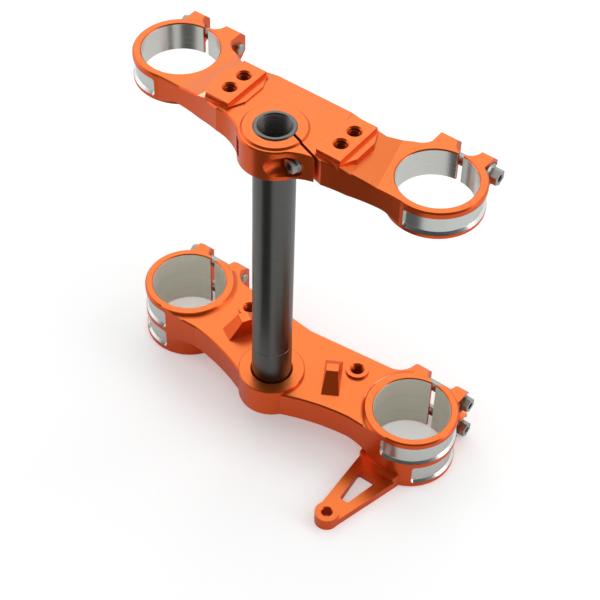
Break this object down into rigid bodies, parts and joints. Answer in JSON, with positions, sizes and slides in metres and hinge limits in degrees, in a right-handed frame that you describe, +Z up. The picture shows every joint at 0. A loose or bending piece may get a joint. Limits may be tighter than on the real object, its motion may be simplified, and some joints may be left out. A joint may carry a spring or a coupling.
{
  "type": "motorcycle triple clamp",
  "caption": "Front fork triple clamp set of a motorcycle: upper and lower fork clamps joined by a hollow steering stem, with their pinch screws.",
  "frame": {"origin": "on the steering axis, at the lower bearing seat on top of the lower clamp", "axes": "+Z up the steering stem, +Y from the stem towards the fork tubes, +X to the side that carries the bracket"},
  "size_m": [0.279, 0.1434, 0.2903],
  "materials": {
    "clamp_orange": "satin orange anodised, with bare machined bores and bands",
    "stem_dark": "dark grey anodised, satin",
    "screw_zinc": "satin zinc plated"
  },
  "bodies": {
    "root": {"upper_clamp": "clamp_orange", "lower_clamp": "clamp_orange", "steering_stem": "stem_dark", "stem_pinch_screw": "screw_zinc", "upper_fork_screw_left": "screw_zinc", "lower_fork_screw_left_upper": "screw_zinc", "lower_fork_screw_left_lower": "screw_zinc", "upper_fork_screw_right": "screw_zinc", "lower_fork_screw_right_upper": "screw_zinc", "lower_fork_screw_right_lower": "screw_zinc"}
  },
  "joints": []
}
